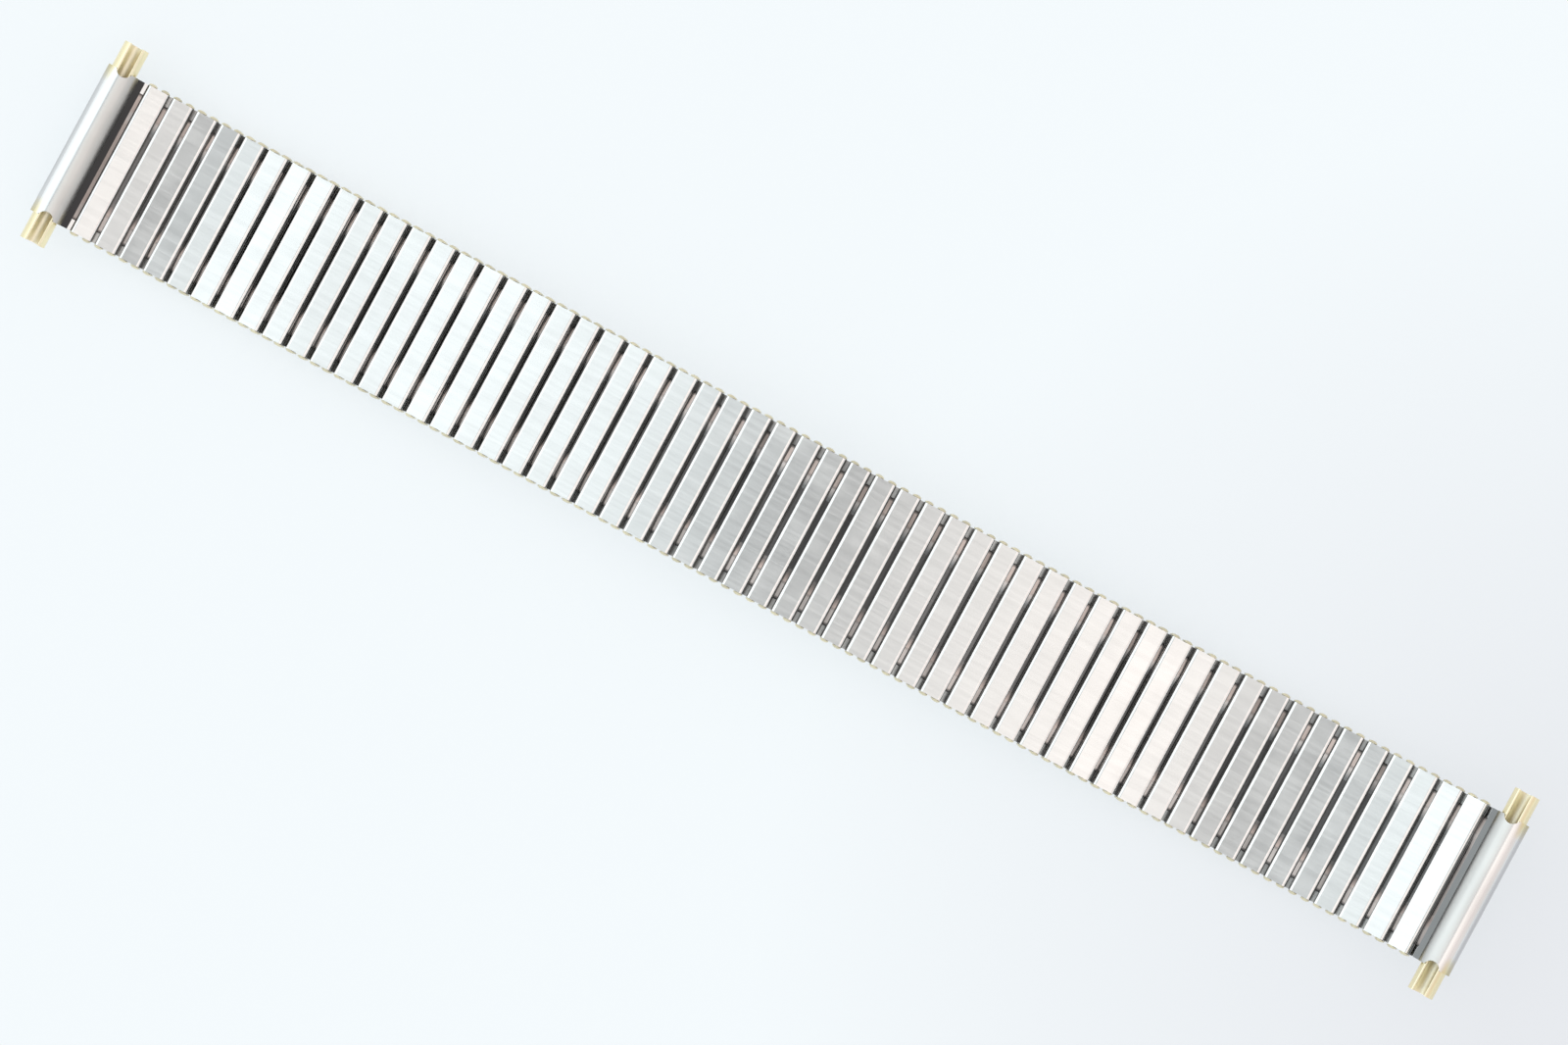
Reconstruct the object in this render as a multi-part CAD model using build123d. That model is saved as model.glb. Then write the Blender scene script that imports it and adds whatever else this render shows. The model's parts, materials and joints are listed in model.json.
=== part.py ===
from build123d import *
import math
import os

import numpy as np

# All lengths are in millimetres and all angles in degrees.
# X runs along the band, Y across it and Z up, away from the wrist.

# Sleeves: two rows of folded sheet, the lower one moved along by half a pitch
sleeve_length = 15.7
sleeve_width = 2.12
sleeve_height = 1.15
sleeve_wall = 0.15
sleeve_bevel = 0.24
cavity_bevel = 0.08
sleeve_gap = 0.5
row_gap = 0.05
seam_width = 0.36

# Sections: how many upper sleeves move as one, with the middle section held still
section_counts = (8, 8, 8, 7, 8, 8, 8)

# Side clips: U-shaped, with one leg in an upper and one in a lower sleeve
leg_thickness = 0.2
leg_length = 3.6
leg_clearance = 0.05
leg_rest_gap = 0.02
web_thickness = 0.22
web_clearance = 0.04
web_gap = 0.46
web_corner_share = 0.3
clip_tilt = 20
bend_angle = 30

# Leaf springs: strips with a hump near each end that presses on the sleeve beside its seam
spring_length = 13.5
spring_width = 1.2
spring_thickness = 0.1
spring_clearance = 0.03
spring_drop = 0.08
spring_knee_share = 0.49
spring_outer_crest_share = 0.375
spring_inner_crest_share = 0.36
spring_foot_share = 0.278

# End sleeves: a rolled tube and a flat tail that ends in the tube for the last clips
roll_wall = 0.23
channel_width = 1.08
notch_radius = 0.8
notch_depth = 0.6

# Telescoping inserts: open channels that a watch's spring bar goes through
bore_radius = 1.0
insert_wall = 0.27
insert_clearance = 0.1
insert_groove = 1.1
insert_reach = 2.65
insert_end_gap = 0.2

# The wave that the band lies in: slopes at shares of half its length, from the middle
station_shares = (-1.0, -0.88, -0.74, -0.62, -0.45, -0.2, 0.0, 0.2, 0.4, 0.52, 0.64, 0.8, 1.0)
station_slope_angles = (-18, -7.5, 4, 2, 4.5, 4, 0, -3.5, -5.5, -7, 0, 5.5, 18.5)
valley_shares = (-0.787, 0.647)
trail_step_count = 4000

# Sizes worked out from those above
pitch = sleeve_width + sleeve_gap
half_pitch = pitch / 2
leg_offset = pitch / 4
upper_count = sum(section_counts)
middle_number = (upper_count - 1) / 2
cavity_width = sleeve_width - 2 * sleeve_wall
cavity_height = sleeve_height - 2 * sleeve_wall
row_offset = (sleeve_height + row_gap) / 2
leg_width = 2 * (cavity_width / 2 - leg_offset - leg_clearance)
roll_inner = bore_radius + insert_wall + insert_clearance
roll_outer = roll_inner + roll_wall
roll_centre = sleeve_width / 2 + channel_width + roll_outer
roll_height = roll_outer - row_offset - sleeve_height / 2
insert_radius = bore_radius + insert_wall
insert_hold = sleeve_length / 2 - insert_reach - insert_end_gap
insert_length = insert_reach + insert_hold
band_half = middle_number * pitch + roll_centre + roll_outer


def turned_half_height(angle):
    """Half the height of a leg's section once it has turned by an angle."""
    turn = math.radians(angle)
    return (leg_width * math.sin(turn) + leg_thickness * math.cos(turn)) / 2


# Leg heights, measured from the middle of the two rows
upper_leg_height = row_offset + cavity_height / 2 - turned_half_height(clip_tilt) - leg_rest_gap
lower_leg_height = -row_offset - cavity_height / 2 + turned_half_height(bend_angle) + leg_rest_gap
leg_spacing = upper_leg_height - lower_leg_height
stretch = leg_spacing * math.sin(math.radians(clip_tilt))
leg_rise = leg_spacing * (1 - math.cos(math.radians(clip_tilt)))


def trail(level):
    """Points along the band's middle line, with its slopes turned down by one level angle."""
    along = np.linspace(-band_half, band_half, trail_step_count + 1)
    stations = np.array(station_shares) * band_half
    slope = np.radians(np.interp(along, stations, station_slope_angles)) - level
    middle_slope = (slope[1:] + slope[:-1]) / 2
    step = along[1] - along[0]
    x = np.concatenate(([0], np.cumsum(np.cos(middle_slope)) * step))
    z = np.concatenate(([0], np.cumsum(np.sin(middle_slope)) * step))
    return along, x, z, slope


def level_trail():
    """The middle line, levelled so that both low points stand on one surface."""
    along, x, z, _ = trail(0)
    valleys = np.array(valley_shares) * band_half
    valley_x = np.interp(valleys, along, x)
    valley_z = np.interp(valleys, along, z)
    level = math.atan2(valley_z[1] - valley_z[0], valley_x[1] - valley_x[0])
    along, x, z, slope = trail(level)
    valley_z = np.interp(valleys, along, z)
    thickness = 2 * row_offset + sleeve_height
    return along, x - (x[0] + x[-1]) / 2, z - valley_z[0] + thickness / 2, slope


line_along, line_x, line_z, line_slope = level_trail()


def band_frame(along):
    """The frame at a distance along the band: X along it and Z out of its upper face."""
    x = float(np.interp(along, line_along, line_x))
    z = float(np.interp(along, line_along, line_z))
    slope = float(np.interp(along, line_along, line_slope))
    ahead = (math.cos(slope), 0, math.sin(slope))
    out = (-math.sin(slope), 0, math.cos(slope))
    return Plane(origin=(x, 0, z), x_dir=ahead, z_dir=out)


def sleeve_place(number):
    """Distance along the band of a sleeve, where lower sleeves have half numbers."""
    return (number - middle_number) * pitch


def bevelled_outline(width, height, bevel):
    """A rectangle with its corners cut off, in the XZ plane, as a face."""
    w, h = width / 2, height / 2
    corners = [(w - bevel, h), (w, h - bevel), (w, bevel - h), (w - bevel, -h),
               (bevel - w, -h), (-w, bevel - h), (-w, h - bevel), (bevel - w, h)]
    return make_face(Polyline(*[(x, 0, z) for x, z in corners], close=True))


def across(face, length):
    """A face in the XZ plane, carried along Y to both sides of the middle."""
    return extrude(face, amount=length / 2, dir=(0, 1, 0), both=True)


def sleeve(seam_side):
    """A hollow sleeve about its own centre, with its seam slot facing up or down."""
    shell = across(bevelled_outline(sleeve_width, sleeve_height, sleeve_bevel), sleeve_length)
    cavity = across(bevelled_outline(cavity_width, cavity_height, cavity_bevel), 2 * sleeve_length)
    slot_depth = sleeve_height / 2
    slot = Box(seam_width, 2 * sleeve_length, slot_depth)
    return shell - cavity - Pos(0, 0, seam_side * (cavity_height + slot_depth) / 2) * slot


def leaf_spring(end_height, crest_height, middle_height):
    """A strip, given how high its underside is at its ends, on its two humps and between them."""
    shares = [0.5, spring_knee_share, spring_outer_crest_share, spring_inner_crest_share,
              spring_foot_share]
    heights = [end_height, end_height, crest_height, crest_height, middle_height]
    near = [(-share * spring_length, z) for share, z in zip(shares, heights)]
    underside = near + [(-y, z) for y, z in reversed(near)]
    top = [(y, z + spring_thickness) for y, z in reversed(underside)]
    strip = make_face(Polyline(*[(0, y, z) for y, z in underside + top], close=True))
    return extrude(strip, amount=spring_width / 2, dir=(1, 0, 0), both=True)


def upper_spring():
    """The spring of an upper sleeve: its ends lie under the legs and its humps on the floor."""
    leg_bottom = upper_leg_height - row_offset - turned_half_height(clip_tilt)
    end_height = leg_bottom - spring_clearance - spring_thickness
    return leaf_spring(end_height, spring_clearance - cavity_height / 2, end_height + spring_drop)


def lower_spring():
    """The spring of a lower sleeve: its ends lie over the legs and its humps under the seam."""
    leg_top = lower_leg_height + row_offset + leg_rise + turned_half_height(clip_tilt)
    end_height = leg_top + spring_clearance
    crest_height = cavity_height / 2 - spring_clearance - spring_thickness
    return leaf_spring(end_height, crest_height, end_height - spring_drop)


def side_clip():
    """A clip at the +Y side, about the middle of the two rows."""
    width = half_pitch - web_gap
    corner = web_corner_share * width
    inner = sleeve_length / 2 + web_clearance
    outer = inner + web_thickness
    shoulder = (inner + outer) / 2
    outline = [(-width / 2, inner), (width / 2, inner), (width / 2, shoulder),
               (width / 2 - corner, outer), (corner - width / 2, outer), (-width / 2, shoulder)]
    bottom = lower_leg_height - leg_thickness / 2
    height = leg_spacing + leg_thickness
    web = extrude(make_face(Polyline(*[(x, y, bottom) for x, y in outline], close=True)),
                  amount=height, dir=(0, 0, 1))
    reach = leg_length + web_clearance + web_thickness / 2
    leg = Pos(0, shoulder - reach / 2, 0) * Box(leg_width, reach, leg_thickness)
    return web + Pos(0, 0, upper_leg_height) * leg + Pos(0, 0, lower_leg_height) * leg


def end_sleeve():
    """The left end piece, about the middle of the first upper sleeve."""
    tube = Pos(-half_pitch, 0, -row_offset) * sleeve(1)
    roll_place = Pos(-roll_centre, 0, roll_height)
    ring = make_face(Circle(roll_outer).edge()) - make_face(Circle(roll_inner).edge())
    roll = roll_place * across(Rot(90, 0, 0) * ring, sleeve_length)
    tail_length = roll_centre - half_pitch - sleeve_width / 2 + sleeve_wall
    tail_height = roll_height - roll_outer + roll_wall / 2
    tail = Pos(tail_length / 2 - roll_centre, 0, tail_height) * Box(tail_length, sleeve_length, roll_wall)
    piece = tube + roll + tail
    for side in (-1, 1):
        notch_middle = side * (sleeve_length / 2 - notch_depth + notch_radius)
        notch = Pos(0, notch_middle, roll_outer) * Cylinder(notch_radius, 2 * roll_outer)
        piece -= roll_place * notch
    return piece


def insert():
    """The insert at the +Y side of the left end, with its groove facing up."""
    ring = make_face(Circle(insert_radius).edge()) - make_face(Circle(bore_radius).edge())
    channel = across(Rot(90, 0, 0) * ring, insert_length)
    groove = Pos(0, 0, insert_radius) * Box(insert_groove, 2 * insert_length, 2 * insert_radius)
    outer_end = sleeve_length / 2 + insert_reach
    return Pos(-roll_centre, outer_end - insert_length / 2, roll_height) * (channel - groove)


def clip_places(first, last, with_first, with_last):
    """Places along the band of the clips of a run of upper sleeves."""
    places = []
    for number in range(first, last + 1):
        if number > first or with_first:
            places.append(sleeve_place(number) - leg_offset)
        if number < last or with_last:
            places.append(sleeve_place(number) + leg_offset)
    return places


def at_places(shape, places):
    """Copies of a shape, one in the band's frame at each place."""
    return [band_frame(place).location * shape for place in places]


upper_sleeve_shape = Pos(0, 0, row_offset) * sleeve(-1)
lower_sleeve_shape = Pos(0, 0, -row_offset) * sleeve(1)
upper_spring_shape = Pos(0, 0, row_offset) * upper_spring()
lower_spring_shape = Pos(0, 0, -row_offset) * lower_spring()
back_clip_shape = side_clip()
front_clip_shape = mirror(back_clip_shape, about=Plane.XZ)


def section_nodes(index):
    """The sleeves, clips and springs of one section, which move as one."""
    first = sum(section_counts[:index])
    last = first + section_counts[index] - 1
    middle = len(section_counts) // 2
    with_first = index > middle or index == 0
    with_last = index < middle or index == len(section_counts) - 1
    uppers = [sleeve_place(number) for number in range(first, last + 1)]
    lowers = [sleeve_place(number) + half_pitch for number in range(first, last)]
    clips = clip_places(first, last, with_first, with_last)
    name = f"section_{index + 1}"
    return {
        f"{name}_upper_sleeves": at_places(upper_sleeve_shape, uppers),
        f"{name}_lower_sleeves": at_places(lower_sleeve_shape, lowers),
        f"{name}_clips": at_places(back_clip_shape, clips) + at_places(front_clip_shape, clips),
        f"{name}_springs": at_places(upper_spring_shape, uppers) + at_places(lower_spring_shape, lowers),
    }


def link_place(index):
    """Place along the band of the lower sleeve between one section and the next."""
    return sleeve_place(sum(section_counts[:index + 1])) - half_pitch


def link_side(index):
    """Which way a link moves from the middle section: 1 towards +X, -1 towards -X."""
    return 1 if index >= len(section_counts) // 2 else -1


def link_nodes(index):
    """The lower sleeve between two sections, its spring, and the clips that tilt as it moves."""
    place = link_place(index)
    tilting = [place - link_side(index) * leg_offset]
    name = f"link_{index + 1}"
    return {
        f"{name}_sleeve": at_places(lower_sleeve_shape, [place]),
        f"{name}_spring": at_places(lower_spring_shape, [place]),
        f"{name}_clips": at_places(back_clip_shape, tilting) + at_places(front_clip_shape, tilting),
    }


def end_nodes(name, side):
    """The end sleeve, its spring and its two inserts, at the left (-1) or right (1) end."""
    last_upper = sleeve_place(0 if side < 0 else upper_count - 1)
    tube_place = last_upper + side * half_pitch

    def turned(shape):
        return shape if side < 0 else mirror(shape, about=Plane.YZ)

    back_insert = insert()
    front_insert = mirror(back_insert, about=Plane.XZ)
    tube_shift = Pos(side * -half_pitch, 0, 0)
    return {
        f"{name}_end_sleeve": at_places(tube_shift * turned(end_sleeve()), [tube_place]),
        f"{name}_end_spring": at_places(lower_spring_shape, [tube_place]),
        f"{name}_back_insert": at_places(tube_shift * turned(back_insert), [tube_place]),
        f"{name}_front_insert": at_places(tube_shift * turned(front_insert), [tube_place]),
    }


def all_nodes():
    """Every node's name with its solids, where they lie along the band."""
    nodes = {}
    for index in range(len(section_counts)):
        nodes.update(section_nodes(index))
    for index in range(len(section_counts) - 1):
        nodes.update(link_nodes(index))
    nodes.update(end_nodes("left", -1))
    nodes.update(end_nodes("right", 1))
    return nodes


def resting_shift(nodes):
    """The move that puts the whole band's box over the origin, standing on Z = 0."""
    boxes = [shape.bounding_box() for shapes in nodes.values() for shape in shapes]
    low_x = min(box.min.X for box in boxes)
    high_x = max(box.max.X for box in boxes)
    low_z = min(box.min.Z for box in boxes)
    return Pos(-(low_x + high_x) / 2, 0, -low_z)


def write_parts(nodes, shift):
    """Writes one file for each node."""
    os.makedirs("parts", exist_ok=True)
    for name, shapes in nodes.items():
        solids = [solid for shape in shapes for solid in (shift * shape).solids()]
        export_step(Compound(children=solids, label=name), f"parts/{name}.step")


band_nodes = all_nodes()
band_shift = resting_shift(band_nodes)
write_parts(band_nodes, band_shift)
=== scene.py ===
import sys

import json
import logging
import math
from dataclasses import dataclass, field, replace
from enum import Enum

import bpy
import numpy as np
from mathutils import Matrix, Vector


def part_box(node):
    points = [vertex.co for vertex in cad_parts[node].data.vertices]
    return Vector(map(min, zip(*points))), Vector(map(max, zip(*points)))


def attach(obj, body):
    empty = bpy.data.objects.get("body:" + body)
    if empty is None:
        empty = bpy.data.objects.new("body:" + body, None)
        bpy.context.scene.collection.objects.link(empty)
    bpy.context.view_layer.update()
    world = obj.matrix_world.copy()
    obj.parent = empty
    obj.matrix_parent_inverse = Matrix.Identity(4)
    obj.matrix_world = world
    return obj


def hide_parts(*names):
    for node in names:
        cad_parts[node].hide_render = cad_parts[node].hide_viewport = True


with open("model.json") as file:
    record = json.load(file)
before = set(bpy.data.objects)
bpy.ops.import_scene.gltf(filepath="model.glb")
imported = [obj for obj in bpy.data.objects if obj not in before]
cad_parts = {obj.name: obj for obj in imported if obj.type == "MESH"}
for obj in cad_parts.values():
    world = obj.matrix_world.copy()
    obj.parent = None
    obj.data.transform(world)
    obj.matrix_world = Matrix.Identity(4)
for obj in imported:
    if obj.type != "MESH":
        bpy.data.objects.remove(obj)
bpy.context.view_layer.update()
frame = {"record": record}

logging.basicConfig(level=logging.INFO, format="%(message)s", stream=sys.stdout)
log = logging.getLogger("watch_band")

MM = 0.001
BAND_TURN = 28.325  # how far the band is turned in the picture, in degrees
SHARP_ANGLE = 42  # edges between faces that meet at more degrees stay sharp
Colour = tuple[float, float, float]


class Row(Enum):
    """The two rows of sleeves, by the side that a row lies on."""

    UPPER = 1
    LOWER = -1


class End(Enum):
    """The two ends of the band, by the side that an end lies on."""

    LEFT = -1
    RIGHT = 1


class Grain(Enum):
    """How a sheet's surface was worked: lines per millimetre along X, Y and Z."""

    BRUSHED_ACROSS = (0.5, 8.0, 0.5)
    ROLLED_ALONG = (5.0, 0.3, 5.0)
    STAMPED = (3.0, 3.0, 3.0)
    PLATED = (1.6, 0.9, 1.6)


@dataclass(frozen=True)
class BandSizes:
    """Sizes that the pieces share, in millimetres and degrees, as in the CAD source."""

    sleeve_length: float = 15.7
    sleeve_width: float = 2.12
    sleeve_height: float = 1.15
    sleeve_wall: float = 0.15
    sleeve_gap: float = 0.5
    row_gap: float = 0.05
    seam_width: float = 0.36
    leg_thickness: float = 0.2
    leg_clearance: float = 0.05
    leg_rest_gap: float = 0.02
    clip_tilt: float = 20
    bend_angle: float = 30
    channel_width: float = 1.08
    bore_radius: float = 1.0
    insert_wall: float = 0.27
    insert_clearance: float = 0.1
    roll_wall: float = 0.23
    section_counts: tuple[int, ...] = (8, 8, 8, 7, 8, 8, 8)

    @property
    def pitch(self) -> float:
        """Distance from one sleeve to the next in its row."""
        return self.sleeve_width + self.sleeve_gap

    @property
    def upper_count(self) -> int:
        """How many sleeves the upper row has."""
        return sum(self.section_counts)

    @property
    def row_offset(self) -> float:
        """Height of a row's middle above or below the band's middle line."""
        return (self.sleeve_height + self.row_gap) / 2

    @property
    def cavity_width(self) -> float:
        """Width of the space in a sleeve."""
        return self.sleeve_width - 2 * self.sleeve_wall

    @property
    def cavity_height(self) -> float:
        """Height of the space in a sleeve."""
        return self.sleeve_height - 2 * self.sleeve_wall

    @property
    def leg_width(self) -> float:
        """Width of a clip's leg."""
        return 2 * (self.cavity_width / 2 - self.pitch / 4 - self.leg_clearance)

    def turned_half_height(self, angle: float) -> float:
        """Half the height of a leg's section once it has turned.

        Args:
            angle: The turn in degrees.

        Returns:
            The half height in millimetres.
        """
        turn = math.radians(angle)
        return (self.leg_width * math.sin(turn) + self.leg_thickness * math.cos(turn)) / 2

    @property
    def upper_leg(self) -> float:
        """Height of the upper legs' middles above the band's middle line."""
        room = self.cavity_height / 2 - self.leg_rest_gap
        return self.row_offset + room - self.turned_half_height(self.clip_tilt)

    @property
    def lower_leg(self) -> float:
        """Height of the lower legs' middles, which is below the middle line."""
        room = self.cavity_height / 2 - self.leg_rest_gap
        return -self.row_offset - room + self.turned_half_height(self.bend_angle)

    @property
    def leg_rise(self) -> float:
        """How far the lower row comes up as a clip tilts fully."""
        return (self.upper_leg - self.lower_leg) * (1 - math.cos(math.radians(self.clip_tilt)))

    @property
    def roll_inner(self) -> float:
        """Radius of the space in an end sleeve's roll."""
        return self.bore_radius + self.insert_wall + self.insert_clearance

    @property
    def roll_outer(self) -> float:
        """Outer radius of an end sleeve's roll."""
        return self.roll_inner + self.roll_wall

    @property
    def roll_centre(self) -> float:
        """Distance of a roll's axis from the middle of the last upper sleeve."""
        return self.sleeve_width / 2 + self.channel_width + self.roll_outer

    @property
    def roll_height(self) -> float:
        """Height of a roll's axis above the band's middle line."""
        return self.roll_outer - self.row_offset - self.sleeve_height / 2

    @property
    def band_half(self) -> float:
        """Half the band's length along its middle line."""
        return (self.upper_count - 1) / 2 * self.pitch + self.roll_centre + self.roll_outer

    def sleeve_places(self, first: int, last: int) -> np.ndarray:
        """Places along the band of a run of upper sleeves.

        Args:
            first: Number of the run's first sleeve, from 0.
            last: Number of its last sleeve.

        Returns:
            Distances from the band's middle, one for each sleeve.
        """
        return (np.arange(first, last + 1) - (self.upper_count - 1) / 2) * self.pitch


@dataclass
class Surface:
    """A closed surface, with what its material reads at each point."""

    points: np.ndarray
    faces: np.ndarray
    smooth: np.ndarray
    values: dict[str, np.ndarray]

    def outward(self) -> "Surface":
        """Turns the faces over if they point inwards, by the sign of the volume that they enclose.

        Returns:
            The surface with its faces outwards.
        """
        corners = self.points[self.faces]
        halves = np.concatenate([corners[:, [0, 1, 2]], corners[:, [0, 2, 3]]])
        volume = np.einsum("ij,ij->", halves[:, 0], np.cross(halves[:, 1], halves[:, 2]))
        faces = self.faces if volume > 0 else self.faces[:, ::-1]
        return replace(self, faces=faces)

    def mirrored(self, axis: int) -> "Surface":
        """The same surface on the other side of the plane square to an axis.

        Args:
            axis: 0 for X or 1 for Y.

        Returns:
            The mirrored surface, with its faces still outwards.
        """
        sign = np.ones(3)
        sign[axis] = -1
        return replace(self, points=self.points * sign, faces=self.faces[:, ::-1])

    def turned_over(self) -> "Surface":
        """The same surface, turned by half a turn about Y."""
        return replace(self, points=self.points * (-1, 1, -1))

    def raised(self, height: float) -> "Surface":
        """The same surface, moved up by some millimetres."""
        return replace(self, points=self.points + (0, 0, height))

    def with_value(self, name: str, value: np.ndarray) -> "Surface":
        """The same surface with one more value at each point."""
        return replace(self, values={**self.values, name: value})


@dataclass(frozen=True)
class Fade:
    """A value that is 0 up to one place, rises evenly to another place and stays there."""

    start: float
    full: float
    most: float = 1.0

    def at(self, where: np.ndarray) -> np.ndarray:
        """The value at some places: most * (where - start) / (full - start), held within its ends."""
        return self.most * np.clip((where - self.start) / (self.full - self.start), 0, 1)


def together(surfaces: list[Surface]) -> Surface:
    """Several surfaces as one.

    Args:
        surfaces: Surfaces that carry the same values.

    Returns:
        One surface with all their points and faces.
    """
    starts = np.cumsum([0] + [len(s.points) for s in surfaces[:-1]])
    return Surface(
        np.concatenate([s.points for s in surfaces]),
        np.concatenate([s.faces + start for s, start in zip(surfaces, starts)]),
        np.concatenate([s.smooth for s in surfaces]),
        {key: np.concatenate([s.values[key] for s in surfaces]) for key in surfaces[0].values},
    )


def rounded_path(corners: np.ndarray, radii: np.ndarray, steps: int) -> np.ndarray:
    """A path whose inner corners are rounded.

    Each corner C becomes the curve (1-t)^2 A + 2t(1-t) C + t^2 B for t from 0 to 1, where A and B
    lie one radius from C towards the points before and after it.

    Args:
        corners: Points of the path, one row for each.
        radii: A radius for each corner but the first and the last point.
        steps: How many points each rounded corner gets.

    Returns:
        The path's points.
    """
    middle = corners[1:-1]
    before = corners[:-2] - middle
    after = corners[2:] - middle
    reach = np.asarray(radii)[:, None]
    start = middle + before / np.linalg.norm(before, axis=1, keepdims=True) * reach
    end = middle + after / np.linalg.norm(after, axis=1, keepdims=True) * reach
    t = np.linspace(0, 1, steps)[None, :, None]
    curves = (1 - t) ** 2 * start[:, None] + 2 * t * (1 - t) * middle[:, None] + t ** 2 * end[:, None]
    return np.concatenate([corners[:1], curves.reshape(-1, 2), corners[-1:]])


def grid_faces(rows: int, columns: int) -> np.ndarray:
    """Faces of a grid of points whose last column joins the first.

    Args:
        rows: How many rings of points there are.
        columns: How many points each ring has.

    Returns:
        Four point numbers for each face.
    """
    index = np.arange(rows * columns).reshape(rows, columns)
    index = np.concatenate([index, index[:, :1]], axis=1)
    corners = (index[:-1, :-1], index[:-1, 1:], index[1:, 1:], index[1:, :-1])
    return np.stack(corners, axis=-1).reshape(-1, 4)


def folded_sheet(outer: np.ndarray, inner: np.ndarray, rows: np.ndarray, limit: np.ndarray,
                 smooth_below: float) -> Surface:
    """A folded sheet: a profile in the XZ plane with a wall, carried along Y.

    The ring of points is the outer path and then the inner path backwards. Row j of the ring lies
    at y = the row's own place, held between minus and plus the limit of each point. Faces between
    the two paths close the ends.

    Args:
        outer: Points (x, z) of the outer face.
        inner: Points of the inner face, as many as the outer face has.
        rows: Places of the rows along Y, rising.
        limit: How far along Y each point of the ring may lie.
        smooth_below: Faces narrower than this are shaded smooth, as part of a curve.

    Returns:
        The closed surface, with its value "edge" 1 on the curves of the outer face.
    """
    ring = np.concatenate([outer, inner[::-1]])
    count, half = len(ring), len(outer)
    along = np.clip(rows[:, None], -limit[None, :], limit[None, :])
    points = np.stack([np.broadcast_to(ring[:, 0], along.shape), along,
                       np.broadcast_to(ring[:, 1], along.shape)], axis=-1).reshape(-1, 3)
    sides = grid_faces(len(rows), count)
    step = np.arange(half - 1)
    cap = np.stack([step, step + 1, count - 2 - step, count - 1 - step], axis=-1)
    last = cap[:, ::-1] + (len(rows) - 1) * count
    widths = np.linalg.norm(np.roll(ring, -1, axis=0) - ring, axis=1)
    curved = widths < smooth_below
    smooth = np.concatenate([np.tile(curved, len(rows) - 1), np.zeros(2 * len(cap), bool)])
    edge = (curved & np.roll(curved, 1)).astype(float)
    edge[half:] = 0
    surface = Surface(points, np.concatenate([sides, cap[:, ::-1], last[:, ::-1]]), smooth,
                      {"edge": np.tile(edge, len(rows))})
    return surface.outward()


def carried_section(stations: np.ndarray, smooth: bool) -> Surface:
    """A section carried through stations, closed by a strip of faces at each end.

    Args:
        stations: Points of each station's ring: stations, points of a ring, and three numbers.
        smooth: Whether the faces between the stations are shaded smooth.

    Returns:
        The closed surface. A ring needs an even number of points, which pair off across its ends.
    """
    rows, count, _ = stations.shape
    sides = grid_faces(rows, count)
    step = np.arange(count // 2 - 1)
    cap = np.stack([step, step + 1, count - 2 - step, count - 1 - step], axis=-1)
    faces = np.concatenate([sides, cap[:, ::-1], cap + (rows - 1) * count])
    flags = np.concatenate([np.full(len(sides), smooth), np.zeros(2 * len(cap), bool)])
    points = stations.reshape(-1, 3)
    return Surface(points, faces, flags, {"edge": np.zeros(len(points))}).outward()


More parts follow.
